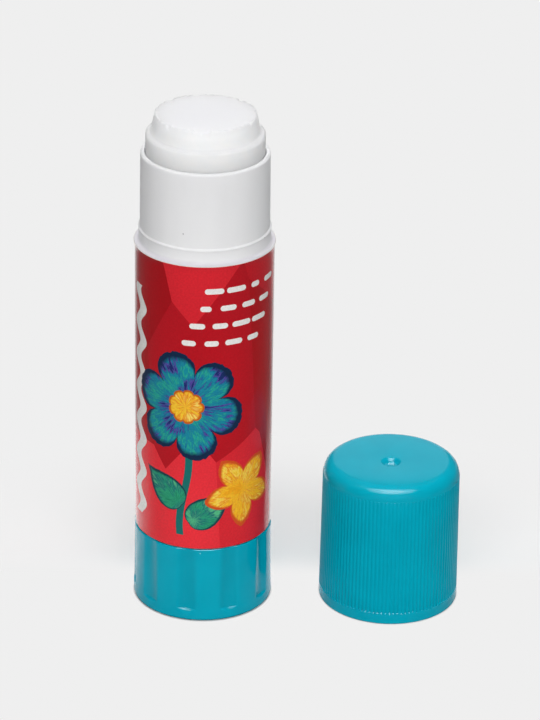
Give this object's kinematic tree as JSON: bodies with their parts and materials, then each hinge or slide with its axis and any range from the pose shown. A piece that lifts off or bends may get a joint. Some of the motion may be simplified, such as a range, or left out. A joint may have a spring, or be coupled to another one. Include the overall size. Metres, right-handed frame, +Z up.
{
  "type": "glue stick",
  "caption": "Round twist-up glue stick, opened: a fluted knob turns a screw that lifts the glue out of its tube; the ribbed cap stands beside it, open side down.",
  "frame": {"origin": "centre of the knob's underside, on the stick's axis, where it stands on the table", "axes": "+Z up along the stick's axis towards the glue, +X from the stick to the cap that stands beside it, -Y towards the viewer of the picture"},
  "size_m": [0.0483, 0.0206, 0.0762],
  "materials": {
    "white_plastic": "moulded polypropylene, satin",
    "label_film": null,
    "teal_plastic": "moulded polypropylene, satin gloss",
    "glue": "waxy, slightly translucent white"
  },
  "bodies": {
    "tube": {"tube": "white_plastic", "label": "label_film"},
    "knob": {"knob": "teal_plastic", "spindle": "white_plastic"},
    "carrier": {"carrier": "white_plastic", "glue_core": "glue"},
    "cap": {"cap": "teal_plastic"}
  },
  "joints": [
    {"name": "knob_turn", "type": "hinge", "parent": "tube", "child": "knob", "pos_m": [0, 0, 0], "axis": [0, 0, 1], "range_deg": [-367, 1907]},
    {"name": "carrier_lift", "type": "slide", "parent": "tube", "child": "carrier", "axis": [0, 0, 1], "range_m": [-0.0051, 0.0265]},
    {"name": "cap_lift", "type": "slide", "parent": "tube", "child": "cap", "axis": [0, 0, 1], "range_m": [0, 0.08]}
  ],
  "couplings": [
    {"joint": "carrier_lift", "follows": "knob_turn", "m_per_rad": 0.00079577}
  ]
}
